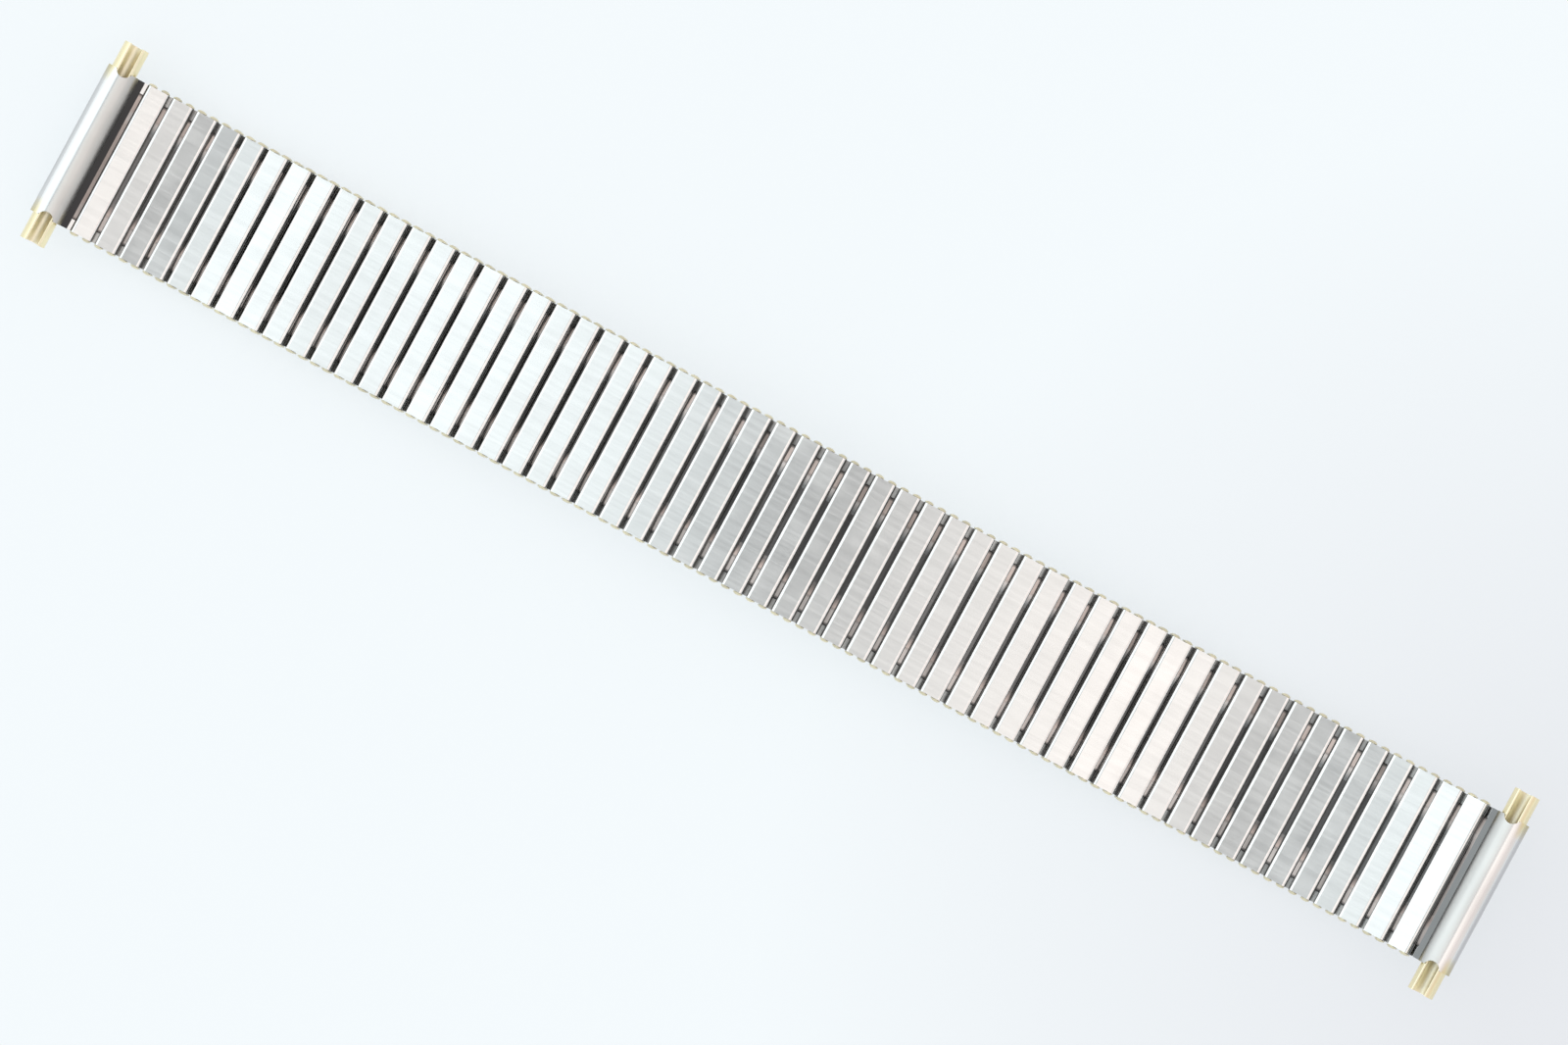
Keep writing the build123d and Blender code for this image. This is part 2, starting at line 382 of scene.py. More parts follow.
@dataclass
class BandLine:
    """The gentle wave that the band lies in, as its middle line in the XZ plane.

    The slope is a straight-line function of the distance along the band between a few stations.
    The line is the running sum of its slope's cosine and sine, turned so that its two low points
    stand on one surface.
    """

    sizes: BandSizes
    station_shares: tuple[float, ...] = (-1.0, -0.88, -0.74, -0.62, -0.45, -0.2, 0.0, 0.2, 0.4,
                                         0.52, 0.64, 0.8, 1.0)
    station_slopes: tuple[float, ...] = (-18, -7.5, 4, 2, 4.5, 4, 0, -3.5, -5.5, -7, 0, 5.5, 18.5)
    valley_shares: tuple[float, float] = (-0.787, 0.647)
    steps: int = 4000

    def __post_init__(self) -> None:
        """Works out the line and where it stands in the record's frame."""
        half = self.sizes.band_half
        self.along = np.linspace(-half, half, self.steps + 1)
        self.slope = np.radians(np.interp(self.along, np.array(self.station_shares) * half,
                                          self.station_slopes))
        self.run_out()
        valleys = np.array(self.valley_shares) * half
        x, z = (np.interp(valleys, self.along, line) for line in (self.x, self.z))
        self.slope = self.slope - math.atan2(z[1] - z[0], x[1] - x[0])
        self.run_out()
        self.settle()

    def run_out(self) -> None:
        """Adds the slope up into the line's x and z."""
        step = self.along[1] - self.along[0]
        middle = (self.slope[1:] + self.slope[:-1]) / 2
        self.x = np.concatenate(([0], np.cumsum(np.cos(middle)) * step))
        self.z = np.concatenate(([0], np.cumsum(np.sin(middle)) * step))

    def settle(self) -> None:
        """Moves the line so that the left end's bore is where the record's mount says."""
        sizes = self.sizes
        mounts = {m["name"]: m for m in frame["record"]["mounts"]}
        tube = sizes.sleeve_places(0, 0) - sizes.pitch / 2
        bore = np.array([[sizes.pitch / 2 - sizes.roll_centre, 0, sizes.roll_height]])
        shift = np.array(mounts["left_spring_bar_bore"]["pos_m"]) / MM - self.put(bore, tube)[0, 0]
        self.x = self.x + shift[0]
        self.z = self.z + shift[2]

    def put(self, points: np.ndarray, places: np.ndarray) -> np.ndarray:
        """Points about the middle line, put at places along the band.

        A point goes to origin + x * ahead + z * out, where ahead follows the line's slope.

        Args:
            points: Points (x, y, z) in a sleeve's own frame.
            places: Distances along the band from its middle.

        Returns:
            The points at each place: places, points, and three numbers.
        """
        slope = np.interp(places, self.along, self.slope)
        x = np.interp(places, self.along, self.x)
        z = np.interp(places, self.along, self.z)
        cos, sin = np.cos(slope)[:, None], np.sin(slope)[:, None]
        return np.stack([x[:, None] + points[:, 0] * cos - points[:, 2] * sin,
                         np.broadcast_to(points[:, 1], (len(places), len(points))),
                         z[:, None] + points[:, 0] * sin + points[:, 2] * cos], axis=-1)

    def repeat(self, surface: Surface, places: np.ndarray, seed: int) -> Surface:
        """Copies of a surface at places along the band, each with a tone of its own.

        Args:
            surface: The surface about the middle line.
            places: Distances along the band from its middle.
            seed: Seed of the tones, which lie between 0 and 1.

        Returns:
            All the copies as one surface.
        """
        count, each = len(places), len(surface.points)
        tones = np.random.default_rng(seed).random(count)
        values = {key: np.tile(value, count) for key, value in surface.values.items()}
        values["tone"] = np.repeat(tones, each)
        offsets = (np.arange(count) * each)[:, None, None]
        return Surface(self.put(surface.points, places).reshape(-1, 3),
                       (surface.faces[None] + offsets).reshape(-1, 4),
                       np.tile(surface.smooth, count), values)


class Wiring:
    """Adds nodes to one node tree and joins them."""

    def __init__(self, tree: bpy.types.NodeTree) -> None:
        """Takes a tree and clears it."""
        self.tree = tree
        tree.nodes.clear()

    def add(self, kind: str, inputs: dict | None = None, **settings: object) -> bpy.types.Node:
        """Adds a node.

        Args:
            kind: The node's type.
            inputs: Its inputs, by name, number or identifier. A socket is joined and anything
                else is set as the input's value.
            **settings: The node's own settings.

        Returns:
            The new node.
        """
        node = self.tree.nodes.new(kind)
        for name, value in settings.items():
            setattr(node, name, value)
        for name, value in (inputs or {}).items():
            socket = self.find(node.inputs, name)
            if isinstance(value, bpy.types.NodeSocket):
                self.tree.links.new(value, socket)
            else:
                socket.default_value = value
        return node

    @staticmethod
    def find(sockets: bpy.types.bpy_prop_collection, name: str | int) -> bpy.types.NodeSocket:
        """Finds a socket by its number, its identifier or its name.

        Args:
            sockets: A node's inputs or outputs.
            name: The socket's number, identifier or name.

        Returns:
            The socket.
        """
        if isinstance(name, int):
            return sockets[name]
        same = [socket for socket in sockets if socket.identifier == name]
        return same[0] if same else sockets[name]

    def mix(self, factor: object, first: object, second: object) -> bpy.types.NodeSocket:
        """Mixes two colours.

        Args:
            factor: A number or socket, 0 for the first colour and 1 for the second.
            first: A colour or socket.
            second: A colour or socket.

        Returns:
            The socket of the mixed colour.
        """
        node = self.add("ShaderNodeMix", {"Factor_Float": factor, "A_Color": first,
                                          "B_Color": second}, data_type="RGBA")
        return self.find(node.outputs, "Result_Color")

    def sum(self, operation: str, first: object, second: object = 0.0) -> bpy.types.NodeSocket:
        """Does one sum, such as ADD or MULTIPLY, and returns the result's socket."""
        return self.add("ShaderNodeMath", {0: first, 1: second}, operation=operation).outputs[0]

    def spread(self, value: object, low: float, high: float, start: object,
               end: object) -> bpy.types.NodeSocket:
        """Maps a value from one range to another: start + (value - low) / (high - low) * (end - start).

        Args:
            value: A number or socket, held between low and high.
            low: The value that becomes the start.
            high: The value that becomes the end.
            start: A number or socket.
            end: A number or socket.

        Returns:
            The socket of the mapped value.
        """
        node = self.add("ShaderNodeMapRange", {"Value": value, "From Min": low, "From Max": high,
                                               "To Min": start, "To Max": end})
        return node.outputs[0]

    def noise(self, place: bpy.types.NodeSocket, scale: float, detail: float,
              roughness: float = 0.5) -> bpy.types.NodeSocket:
        """A noise from 0 to 1.

        Args:
            place: The socket of the place.
            scale: Waves per unit of the place.
            detail: How many finer waves lie on them.
            roughness: How strong the finer waves are.

        Returns:
            The noise's socket.
        """
        node = self.add("ShaderNodeTexNoise", {"Vector": place, "Scale": scale, "Detail": detail,
                                               "Roughness": roughness})
        return node.outputs[0]


def new_group(name: str, inputs: dict[str, str], outputs: dict[str, str]) -> tuple[
        bpy.types.NodeTree, Wiring, bpy.types.Node, bpy.types.Node]:
    """Starts a shader node group.

    Args:
        name: The group's name.
        inputs: Its inputs' names and kinds, where a kind is Float, Color or Vector.
        outputs: Its outputs' names and kinds.

    Returns:
        The group, its wiring, and its input and output nodes.
    """
    group = bpy.data.node_groups.new(name, "ShaderNodeTree")
    for side, sockets in (("INPUT", inputs), ("OUTPUT", outputs)):
        for label, kind in sockets.items():
            group.interface.new_socket(name=label, in_out=side, socket_type=f"NodeSocket{kind}")
    wiring = Wiring(group)
    return group, wiring, wiring.add("NodeGroupInput"), wiring.add("NodeGroupOutput")


def sheet_grain_group() -> bpy.types.NodeTree:
    """Grain of a worked sheet: two noises drawn out along the lines of the work.

    Returns:
        The group. Lines holds lines per millimetre along each axis. Height is from 0 to 1, and
        Tone is a slower noise from 0 to 1.
    """
    group, wiring, given, result = new_group(
        "sheet_grain", {"Place": "Vector", "Lines": "Vector"}, {"Height": "Float", "Tone": "Float"})
    drawn = wiring.add("ShaderNodeVectorMath", {0: given.outputs["Place"], 1: given.outputs["Lines"]},
                       operation="MULTIPLY").outputs[0]
    coarse_share = 0.6
    coarse = wiring.sum("MULTIPLY", wiring.noise(drawn, 1.0, 3.0, 0.65), coarse_share)
    fine = wiring.sum("MULTIPLY", wiring.noise(drawn, 3.1, 2.0), 1 - coarse_share)
    tone = wiring.spread(wiring.noise(drawn, 0.32, 2.0), 0.3, 0.7, 0.0, 1.0)
    wiring.tree.links.new(wiring.sum("ADD", coarse, fine), result.inputs["Height"])
    wiring.tree.links.new(tone, result.inputs["Tone"])
    return group


def handling_marks_group() -> bpy.types.NodeTree:
    """Marks of handling: a few long thin scratches at two angles, and faint smudges.

    Returns:
        The group. Scratches and Smudges are masks from 0 to 1.
    """
    group, wiring, given, result = new_group(
        "handling_marks", {"Place": "Vector"}, {"Scratches": "Float", "Smudges": "Float"})
    masks = []
    # each set of scratches: its angle in radians, and its noise per millimetre along and across
    for angle, along, across in ((1.16, 0.05, 7.0), (-0.5, 0.09, 9.0)):
        turned = wiring.add("ShaderNodeMapping", {"Vector": given.outputs["Place"],
                                                  "Rotation": (0.0, 0.0, angle),
                                                  "Scale": (along, across, 0.1)}).outputs[0]
        # only the noise's highest crests are scratches
        masks.append(wiring.spread(wiring.noise(turned, 1.0, 1.0), 0.735, 0.765, 0.0, 1.0))
    smudges = wiring.spread(wiring.noise(given.outputs["Place"], 0.22, 3.0), 0.45, 0.7, 0.0, 1.0)
    wiring.tree.links.new(wiring.sum("MAXIMUM", *masks), result.inputs["Scratches"])
    wiring.tree.links.new(smudges, result.inputs["Smudges"])
    return group


def shared_group(name: str) -> bpy.types.NodeTree:
    """A shared node group, built when it is first asked for.

    Args:
        name: The group's name.

    Returns:
        The group.
    """
    makers = {"sheet_grain": sheet_grain_group, "handling_marks": handling_marks_group}
    return bpy.data.node_groups.get(name) or makers[name]()


@dataclass(frozen=True)
class Finish:
    """A metal finish: colours are linear, and the grain's depth is in millimetres.

    The shares say how much the tones, scratches and smudges change the colour and the roughness.
    """

    name: str
    colour: Colour
    edge_colour: Colour
    roughness: float
    edge_roughness: float
    grain: Grain
    depth: float
    tone_share: float = 0.09
    copy_share: float = 0.2
    scratch_share: float = 0.3
    scratch_depth_share: float = 0.2
    smudge_share: float = 0.05
    rough_share: float = 0.04
    patch_colour: Colour = (0.68, 0.68, 0.665)
    patch_roughness: float = 0.3
    gilt_colour: Colour = (0.86, 0.76, 0.46)
    # colour of the painted shade: the dark put where shade falls, in gaps, undersides and channels
    painted_shade_colour: Colour = (0.05, 0.05, 0.052)

    def material(self) -> bpy.types.Material:
        """The finish as a material, built when it is first asked for.

        The values "edge", "tone", "patch", "gilt" and "shade" of the mesh say where a piece wears at
        its edges, how light one sleeve is beside its neighbours, where it is satin or gilded, and where
        shade is painted into its colour. The edge colour also paints a highlight on the inserts' lips
        and lightens the springs' humps. The painted shade darkens the gaps between the sleeves, the
        upper sleeves' undersides, the springs' ends and the end channels.

        Returns:
            The material.
        """
        known = bpy.data.materials.get(self.name)
        if known:
            return known
        material = bpy.data.materials.new(self.name)
        material.use_nodes = True
        wiring = Wiring(material.node_tree)
        place = wiring.add("ShaderNodeMapping", {
            "Vector": wiring.add("ShaderNodeTexCoord").outputs["Object"],
            "Scale": (1 / MM, 1 / MM, 1 / MM)}).outputs[0]
        grain = wiring.add("ShaderNodeGroup", node_tree=shared_group("sheet_grain"))
        marks = wiring.add("ShaderNodeGroup", node_tree=shared_group("handling_marks"))
        wiring.tree.links.new(place, grain.inputs["Place"])
        wiring.tree.links.new(place, marks.inputs["Place"])
        grain.inputs["Lines"].default_value = self.grain.value
        edge, tone, patch, gilt, shade = (
            wiring.add("ShaderNodeAttribute", attribute_name=name).outputs["Fac"]
            for name in ("edge", "tone", "patch", "gilt", "shade"))

        scratches, smudges = marks.outputs["Scratches"], marks.outputs["Smudges"]
        smudged = wiring.sum("MULTIPLY", smudges, self.smudge_share)
        # the edge colour: wear on edges and scratches, a painted highlight on the inserts' lips, and
        # the springs' lighter humps
        wear_and_highlight = wiring.sum("MAXIMUM", edge, wiring.sum("MULTIPLY", scratches, self.scratch_share))
        colour = wiring.mix(wear_and_highlight, self.colour + (1.0,), self.edge_colour + (1.0,))
        colour = wiring.mix(patch, colour, self.patch_colour + (1.0,))
        colour = wiring.mix(gilt, colour, self.gilt_colour + (1.0,))
        # painted shade: the colour goes to the shade colour where the mesh's shade value says
        colour = wiring.mix(shade, colour, self.painted_shade_colour + (1.0,))
        own_tone = wiring.sum("MULTIPLY", tone, self.copy_share)
        mixed_tone = wiring.sum("ADD", own_tone, wiring.sum(
            "MULTIPLY", grain.outputs["Tone"], 1 - self.copy_share))
        lightness = wiring.spread(mixed_tone, 0.0, 1.0, 1 - self.tone_share, 1 + self.tone_share)
        lightness = wiring.sum("SUBTRACT", lightness, smudged)
        colour = wiring.add("ShaderNodeVectorMath", {0: colour, "Scale": lightness},
                            operation="SCALE").outputs[0]

        rough = wiring.spread(grain.outputs["Tone"], 0.0, 1.0,
                              self.roughness * (1 - self.rough_share),
                              self.roughness * (1 + self.rough_share))
        rough = wiring.sum("ADD", rough, smudged)
        rough = wiring.spread(edge, 0.0, 1.0, rough, self.edge_roughness)
        rough = wiring.spread(patch, 0.0, 1.0, rough, self.patch_roughness)

        height = wiring.sum("SUBTRACT", grain.outputs["Height"],
                            wiring.sum("MULTIPLY", scratches, self.scratch_depth_share))
        bump = wiring.add("ShaderNodeBump", {"Height": height, "Distance": self.depth * MM,
                                             "Strength": 1.0})
        shader = wiring.add("ShaderNodeBsdfPrincipled", {
            "Base Color": colour, "Metallic": 1.0, "Roughness": rough, "Normal": bump.outputs[0]})
        wiring.add("ShaderNodeOutputMaterial", {"Surface": shader.outputs[0]})
        return material


# Each finish's shade colour is painted shade.
BRUSHED_SLAT = Finish("brushed_slat", (0.93, 0.93, 0.925), (0.95, 0.95, 0.945), 0.215, 0.18,
                      Grain.BRUSHED_ACROSS, 0.0038, tone_share=0.05,
                      painted_shade_colour=(0.3, 0.295, 0.285))
INNER_SHEET = Finish("inner_sheet", (0.66, 0.655, 0.645), (0.72, 0.71, 0.69), 0.26, 0.2,
                     Grain.ROLLED_ALONG, 0.002, painted_shade_colour=(0.14, 0.135, 0.13))
OLIVE_CLIP = Finish("olive_clip", (0.72, 0.66, 0.48), (0.78, 0.73, 0.55), 0.32, 0.28,
                    Grain.STAMPED, 0.003, tone_share=0.12, copy_share=0.5)
# The spring's dark colour is painted shade of the narrow gaps between the sleeves. Its lighter edge
# colour goes on its humps and on the end springs.
SPRING_IN_PAINTED_SHADE = Finish("spring_strip", (0.18, 0.175, 0.175), (0.44, 0.385, 0.365), 0.2, 0.2,
                      Grain.ROLLED_ALONG, 0.003, tone_share=0.5, copy_share=0.55,
                      painted_shade_colour=(0.02, 0.02, 0.02))
END_SHEET = Finish("end_sheet", (0.88, 0.88, 0.88), (0.9, 0.9, 0.9), 0.1, 0.1,
                   Grain.ROLLED_ALONG, 0.0015, tone_share=0.05,
                   patch_colour=(0.76, 0.76, 0.745), patch_roughness=0.5)
# The gold's lighter edge colour is a painted highlight on the inserts' lips.
PALE_GOLD = Finish("pale_gold", (0.93, 0.83, 0.55), (0.96, 0.88, 0.64), 0.2, 0.16,
                   Grain.PLATED, 0.004, tone_share=0.05, patch_colour=(0.95, 0.88, 0.68),
                   patch_roughness=0.35)


def band_pieces() -> bpy.types.Collection:
    """The collection that holds the finished pieces, made when it is first asked for.

    Returns:
        The collection, which the floor reads for its height.
    """
    known = bpy.data.collections.get("band_pieces")
    if known:
        return known
    made = bpy.data.collections.new("band_pieces")
    bpy.context.scene.collection.children.link(made)
    return made


@dataclass(frozen=True)
class Piece:
    """Where one finished piece belongs: its CAD node, its body and its material slot."""

    node: str
    body: str
    slot: str

    def dress(self, surface: Surface, finish: Finish) -> None:
        """Makes the piece's object, which rides on its body and stands for its CAD node.

        Args:
            surface: Its surface, in millimetres in the record's frame.
            finish: Its finish.
        """
        mesh = bpy.data.meshes.new(f"{self.node}_looks")
        mesh.from_pydata((surface.points * MM).tolist(), [], surface.faces.tolist())
        mesh.set_sharp_from_angle(angle=math.radians(SHARP_ANGLE))
        mesh.polygons.foreach_set("use_smooth", surface.smooth)
        for name, value in surface.values.items():
            layer = mesh.attributes.new(name, "FLOAT", "POINT")
            layer.data.foreach_set("value", value.astype(np.float32))
        mesh.materials.append(finish.material())
        mesh.update()
        piece = bpy.data.objects.new(f"{self.node}_looks", mesh)
        band_pieces().objects.link(piece)
        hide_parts(self.node)
        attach(piece, self.body)
        self.compare(surface)

    def compare(self, surface: Surface) -> None:
        """Reports how far the piece's box is from its CAD node's box.

        Args:
            surface: The piece's surface.
        """
        low, high = (np.array(corner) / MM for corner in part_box(self.node))
        apart = max(np.abs(surface.points.min(axis=0) - low).max(),
                    np.abs(surface.points.max(axis=0) - high).max())
        log.info("%s: %d faces, box within %.3f mm of its node", self.node, len(surface.faces), apart)


@dataclass
class RepeatedPart:
    """A kind of part that is repeated along the band, in one finish and one material slot."""

    sizes: BandSizes
    line: BandLine
    finish: Finish
    slot: str

    def dress(self, node: str, body: str, surface: Surface) -> None:
        """Makes one piece of such parts.

        Args:
            node: The CAD node that it stands for.
            body: The body that it rides on.
            surface: All its parts, in millimetres in the record's frame.
        """
        Piece(node, body, self.slot).dress(surface, self.finish)


@dataclass
class SleeveRow(RepeatedPart):
    """Folded sleeves of one row: a strip of sheet bent into a tube, with an open seam."""

    row: Row
    edge_radius: float = 0.28
    inner_radius: float = 0.08
    edge_steps: int = 5
    curve_width: float = 0.16
    # painted shade towards the seam, from 0.15 to 0.4 of the height: under the upper sleeves, and on
    # the lower sleeves' tops that show in the gaps
    shade: Fade = Fade(0.15, 0.4)

    def path(self, inset: float, radius: float) -> np.ndarray:
        """One face of the sheet, from one lip of the seam round to the other.

        It is a rectangle with rounded corners, open by the seam's width in the middle of one side.

        Args:
            inset: How far inside the outer face it lies.
            radius: Radius of its corners.

        Returns:
            Points (x, z) about the sleeve's own middle, with the seam at the bottom.
        """
        w = self.sizes.sleeve_width / 2 - inset
        h = self.sizes.sleeve_height / 2 - inset
        lip = self.sizes.seam_width / 2
        corners = np.array([(lip, -h), (w, -h), (w, h), (-w, h), (-w, -h), (-lip, -h)])
        return rounded_path(corners, np.full(4, radius), self.edge_steps)

    def sleeve(self) -> Surface:
        """One sleeve about the band's middle line, with shade painted towards its seam.

        Returns:
            Its surface. The lower row's is an upper sleeve turned over.
        """
        outer = self.path(0, self.edge_radius)
        inner = self.path(self.sizes.sleeve_wall, self.inner_radius)
        half = self.sizes.sleeve_length / 2
        sheet = folded_sheet(outer, inner, np.array([-half, half]), np.full(2 * len(outer), half),
                             smooth_below=self.curve_width)
        # painted shade, darker towards the seam
        height_share = -sheet.points[:, 2] / self.sizes.sleeve_height
        sheet = sheet.with_value("shade", self.shade.at(height_share))
        turned = sheet if self.row is Row.UPPER else sheet.turned_over()
        return turned.raised(self.row.value * self.sizes.row_offset)

    def build(self, node: str, body: str, places: np.ndarray, seed: int) -> None:
        """Builds the sleeves at some places along the band as one piece."""
        self.dress(node, body, self.line.repeat(self.sleeve(), places, seed))


@dataclass
class SideClips(RepeatedPart):
    """Stamped side clips: a web outside the sleeves' ends and a leg in each row.

    A clip is one section of six points, carried from one leg's tip through the web to the other.
    """

    leg_length: float = 3.6
    web_thickness: float = 0.22
    web_clearance: float = 0.04
    web_gap: float = 0.46
    web_corner_share: float = 0.3
    leg_corner_share: float = 0.12
    crown: float = 0.17
    step: float = 0.01  # keeps the sections at the foot of the web apart

    def elbow(self, level: float, side: int) -> np.ndarray:
        """Sections from a leg's tip to the start of the web.

        Args:
            level: Height of the leg's middle.
            side: 1 for the upper leg and -1 for the lower one.

        Returns:
            A row for each section: its width, then (y, z) of its inner and of its outer face.
        """
        sizes = self.sizes
        leg = sizes.leg_width
        web = sizes.pitch / 2 - self.web_gap
        tip = sizes.sleeve_length / 2 - self.leg_length
        inside = sizes.sleeve_length / 2 + self.web_clearance
        outside = inside + self.web_thickness
        near = level - side * sizes.leg_thickness / 2
        far = level + side * sizes.leg_thickness / 2
        return np.array([
            (leg, tip, near, tip, far),
            (leg, inside - self.step, near, inside - self.step, far),
            (web, inside, near, inside + self.step, far),
            (web, inside, near - side * self.step, outside - self.crown, far),
            (web, inside, near - side * self.crown, outside, far - side * self.crown),
        ])

    def clip(self) -> Surface:
        """The clip at the +Y side, about the band's middle line.

        Each section's outer corners are cut back to half its thickness, by a share of its width.

        Returns:
            Its surface.
        """
        sizes = self.sizes
        rows = np.concatenate([self.elbow(sizes.upper_leg, 1), self.elbow(sizes.lower_leg, -1)[::-1]])
        width, inner, outer = rows[:, 0], rows[:, 1:3], rows[:, 3:5]
        in_web = width > sizes.leg_width
        cut = np.where(in_web, self.web_corner_share, self.leg_corner_share) * width
        shoulder = (inner + outer) / 2
        across = np.stack([-width / 2, width / 2, width / 2, width / 2 - cut, cut - width / 2,
                           -width / 2], axis=1)
        faces = np.stack([inner, inner, shoulder, outer, outer, shoulder], axis=1)
        stations = np.concatenate([across[..., None], faces], axis=-1)
        return carried_section(stations, smooth=False)

    def build(self, node: str, body: str, places: np.ndarray, seed: int) -> None:
        """Builds the clips of both sides at some places along the band as one piece.

        Args:
            node: The CAD node that they stand for.
            body: The body that they ride on.
            places: Distances along the band from its middle.
            seed: Seed of the tones at the +Y side, and one less than that of the other side.
        """
        back = self.clip()
        both = together([self.line.repeat(back, places, seed),
                         self.line.repeat(back.mirrored(1), places, seed + 1)])
        self.dress(node, body, both)


@dataclass
class LeafSprings(RepeatedPart):
    """Leaf springs: a thin strip in each sleeve, with a hump near each end."""

    length: float = 13.5
    width: float = 1.2
    thickness: float = 0.1
    clearance: float = 0.03
    drop: float = 0.08
    knee_shares: tuple[float, ...] = (0.5, 0.49, 0.375, 0.36, 0.278)
    # the strip takes its lighter colour between these shares of its length, on its humps
    lighter_hump_shares: tuple[float, float] = (0.29, 0.48)
    bend: float = 0.16
    bend_shares: tuple[float, ...] = (1, 0.5, 0.5, 1)
    bend_steps: int = 2

    def strip(self, row: Row) -> Surface:
        """A spring about the band's middle line.

        Args:
            row: The row that it lies in. An upper spring is a lower one turned over.

        Returns:
            Its surface: the strip's middle line through its knees, with small rounded bends, and
            four points of a section at each of its stations.
        """
        sizes = self.sizes
        leg = sizes.lower_leg + sizes.leg_rise if row is Row.LOWER else -sizes.upper_leg
        leg_edge = leg + sizes.row_offset + sizes.turned_half_height(sizes.clip_tilt)
        end = leg_edge + self.clearance + self.thickness / 2
        crest = sizes.cavity_height / 2 - self.clearance - self.thickness / 2
        heights = np.array([end, end, crest, crest, end - self.drop])
        along = -np.array(self.knee_shares) * self.length
        knees = np.column_stack([np.concatenate([along, -along[::-1]]),
                                 np.concatenate([heights, heights[::-1]])])
        radii = self.bend * np.array(self.bend_shares + self.bend_shares[::-1])
        centre = rounded_path(knees, radii, self.bend_steps)
        half = self.thickness / 2
        low, high = centre - (0, half), centre + (0, half)
        side = np.full(len(centre), self.width / 2)
        ring = [np.column_stack([-side, low]), np.column_stack([side, low]),
                np.column_stack([side, high]), np.column_stack([-side, high])]
        surface = carried_section(np.stack(ring, axis=1), smooth=False)
        # lighter on the humps, with painted shade at both ends under the clips' legs
        share = np.abs(surface.points[:, 1]) / self.length
        first, last = self.lighter_hump_shares
        surface = surface.with_value("edge", ((share > first) & (share < last)).astype(float))
        surface = surface.with_value("shade", (share > last).astype(float))
        turned = surface if row is Row.LOWER else surface.turned_over()
        return turned.raised(row.value * sizes.row_offset)

    def build(self, node: str, body: str, places: dict[Row, np.ndarray], seed: int) -> None:
        """Builds the springs of one row or of both as one piece.

        Args:
            node: The CAD node that they stand for.
            body: The body that they ride on.
            places: Distances along the band from its middle, for each row.
            seed: Seed of the tones, to which the row's own number is added.
        """
        runs = [self.line.repeat(self.strip(row), where, seed + row.value)
                for row, where in places.items()]
        self.dress(node, body, together(runs))


